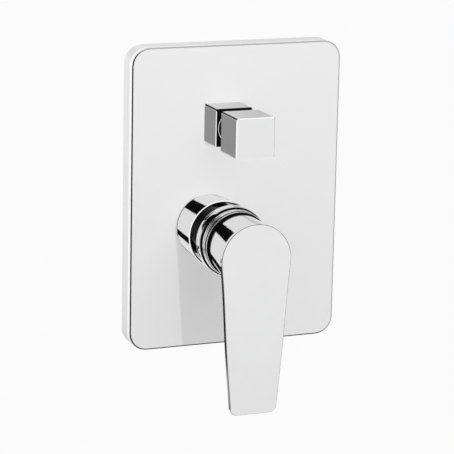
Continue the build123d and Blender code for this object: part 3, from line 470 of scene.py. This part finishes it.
def either(*parts):
    result = parts[0]
    for part in parts[1:]:
        result = math_node(sky, "MAXIMUM", result, part)
    return result


def shade(tone, mask, to):
    gap = math_node(sky, "SUBTRACT", to, tone)
    return math_node(sky, "ADD", tone, math_node(sky, "MULTIPLY", gap, mask))


# In front: pale, a little darker below, with bright boxes far to the left and above.
front_tone = shade(FRONT, under(dir_z, -0.295, 0.045), LOW_FRONT)
front_tone = shade(front_tone, either(under(dir_x, -0.55, 0.1), over(dir_z, 0.6, 0.1)), BOX)
# Behind: pale, greyer to the right for level tops, a grey strip for the left faces, black flags.
square_x = math_node(sky, "MULTIPLY", dir_x, dir_x)
square_z = math_node(sky, "MULTIPLY", dir_z, dir_z)
reach = math_node(sky, "SQRT", math_node(sky, "ADD", square_x, square_z))
sleeve_line = along(0.78, -0.62)
top_grey = both(over(dir_x, 0.367, 0.02), over(dir_z, 0.1, 0.05))
side_strip = both(
    under(dir_x, -0.33, 0.02),
    over(dir_x, -0.41, 0.02),
    under(dir_z, -0.155, 0.015),
    over(dir_z, -0.235, 0.015),
)
upper_sleeve = both(
    under(reach, 0.345, 0.008),
    under(dir_x, 0.068, 0.015),
    over(along(1.0, 1.0), 0.037, 0.015),
)
upper_hub = both(
    under(reach, 0.405, 0.006),
    under(dir_x, -0.10, 0.012),
    over(along(-0.5, 1.0), 0.3085, 0.006),
)
ring_flag = both(over(reach, 0.45, 0.01), under(dir_x, -0.25, 0.03), over(dir_z, 0.2, 0.04))
sleeve_flag = both(
    over(sleeve_line, 0.0, 0.01),
    under(sleeve_line, 0.15, 0.01),
    under(along(0.81, 1.0), -0.382, 0.01),
)
hub_flag = both(
    over(dir_x, -0.05, 0.015),
    under(dir_x, 0.16, 0.02),
    over(dir_z, -0.340, 0.004),
    under(dir_z, -0.265, 0.015),
)
low_flag = both(
    over(dir_x, 0.27, 0.02),
    under(dir_x, 0.45, 0.03),
    over(dir_z, -0.34, 0.02),
    under(dir_z, -0.2, 0.02),
)
blade_flag = both(
    under(dir_x, -0.22, 0.02),
    over(dir_x, -0.6, 0.03),
    under(dir_z, -0.29, 0.02),
    over(dir_z, -0.362, 0.02),
    over(reach, 0.436, 0.006),
)
back_flags = either(upper_sleeve, upper_hub, ring_flag, sleeve_flag, hub_flag, low_flag)
back_tone = shade(BACK, top_grey, TOP_GREY)
back_tone = shade(back_tone, side_strip, SIDE_STRIP)
back_tone = shade(back_tone, back_flags, FLAG)
studio_tone = shade(front_tone, over(dir_y, 0.35, 0.15), back_tone)
# To the sides: grey, so that chrome stands out from the white.
side_grey = both(over(square_x, 0.5, 0.15), over(dir_y, -0.2, 0.15))
studio_tone = shade(studio_tone, side_grey, SIDE_GREY)
studio_tone = shade(studio_tone, both(blade_flag, over(dir_y, -0.3, 0.1)), FLAG)

path = node(sky, "ShaderNodeLightPath")
plain_light = node(sky, "ShaderNodeBackground")
plain_light.inputs["Color"].default_value = (*grey(PLAIN), 1.0)
metal_light = node(sky, "ShaderNodeBackground")
sky.links.new(studio_tone, metal_light.inputs["Color"])
paper_light = node(sky, "ShaderNodeBackground")
paper_light.inputs["Color"].default_value = (*grey(PAPER), 1.0)


def choose(ray, otherwise, light):
    mix = node(sky, "ShaderNodeMixShader")
    sky.links.new(path.outputs[ray], mix.inputs["Fac"])
    sky.links.new(otherwise.outputs[0], mix.inputs[1])
    sky.links.new(light.outputs[0], mix.inputs[2])
    return mix


to_metal = choose("Is Glossy Ray", plain_light, metal_light)
to_camera = choose("Is Camera Ray", to_metal, paper_light)
world_out = node(sky, "ShaderNodeOutputWorld")
sky.links.new(to_camera.outputs[0], world_out.inputs["Surface"])


# Lamps: a frontal key that throws the shadow of the lever on the plate, wide soft ones above,
# at the left, and behind for the body in the wall.
def area_light(name, place, aim, size, watts):
    data = bpy.data.lights.new(name, "AREA")
    data.shape = "DISK"
    data.size = size
    data.energy = watts
    lamp = bpy.data.objects.new(name, data)
    lamp.location = place
    lamp.rotation_euler = (Vector(aim) - Vector(place)).to_track_quat("-Z", "Y").to_euler()
    lamp.visible_glossy = False
    bpy.context.scene.collection.objects.link(lamp)
    return lamp


def node_group(name, chosen):
    group = bpy.data.collections.new(name)
    for obj in chosen:
        group.objects.link(obj)
    return group


area_light("key", (-0.075, -1.6, 0.10), (0.0, PLATE_Y, 0.0), size=0.02, watts=4.4)
top = area_light("top", (0.05, -0.75, 0.75), (0.01, PLATE_Y, 0.05), size=1.0, watts=3.2)
area_light("side", (-1.0, -0.04, 0.05), (-0.0646, -0.08, 0.015), size=0.4, watts=4.0)
rear = area_light("rear", (0.55, 0.85, 0.55), (0.0, -0.03, 0.0), size=0.5, watts=9.0)

# The rear lamp shines on the brass and steel alone, and shows in them.
rear.visible_glossy = True
bare_metal = [obj for name, obj in nodes.items() if slots[name] in ("brass", "steel")]
rear.light_linking.receiver_collection = node_group("bare_metal", bare_metal)

# The knob and its collar throw no shadow of the top lamp on the plate.
KNOB_PIECES = ("diverter", "knob", "collar")
blockers = [obj for name, obj in nodes.items() if not name.startswith(KNOB_PIECES)]
top.light_linking.blocker_collection = node_group("shadow_pieces", blockers)

# Floor: a pale sheet well below the fitting, which glows to the camera and in the metal.
FLOOR_HALF = 0.6
FLOOR_TONE, FLOOR_GLOW = 0.2, 0.76
floor_mesh = bpy.data.meshes.new("floor")
made = bmesh.new()
bmesh.ops.create_grid(made, x_segments=1, y_segments=1, size=FLOOR_HALF)
made.to_mesh(floor_mesh)
made.free()
floor = bpy.data.objects.new("floor", floor_mesh)
floor.location = (0.0, -0.05, -0.45)
bpy.context.scene.collection.objects.link(floor)
floor_mat, floor_tree, floor_bsdf = material("floor_paper")
floor_bsdf.inputs["Base Color"].default_value = (*grey(FLOOR_TONE), 1.0)
floor_bsdf.inputs["Roughness"].default_value = 0.9
floor_bsdf.inputs["Specular IOR Level"].default_value = 0.0
floor_glow = node(floor_tree, "ShaderNodeEmission")
floor_glow.inputs["Color"].default_value = (*grey(FLOOR_GLOW), 1.0)
rays = node(floor_tree, "ShaderNodeLightPath").outputs
seen = math_node(floor_tree, "ADD", rays["Is Camera Ray"], rays["Is Glossy Ray"])
seen = math_node(floor_tree, "ADD", seen, rays["Is Transmission Ray"], clamp=True)
floor_tree.links.new(seen, floor_glow.inputs["Strength"])
floor_sum = node(floor_tree, "ShaderNodeAddShader")
floor_tree.links.new(floor_glow.outputs[0], floor_sum.inputs[0])
floor_tree.links.new(floor_bsdf.outputs[0], floor_sum.inputs[1])
floor_tree.links.new(floor_sum.outputs[0], floor_tree.nodes["Material Output"].inputs["Surface"])
floor_mesh.materials.append(floor_mat)

bpy.context.scene.view_settings.view_transform = "Standard"
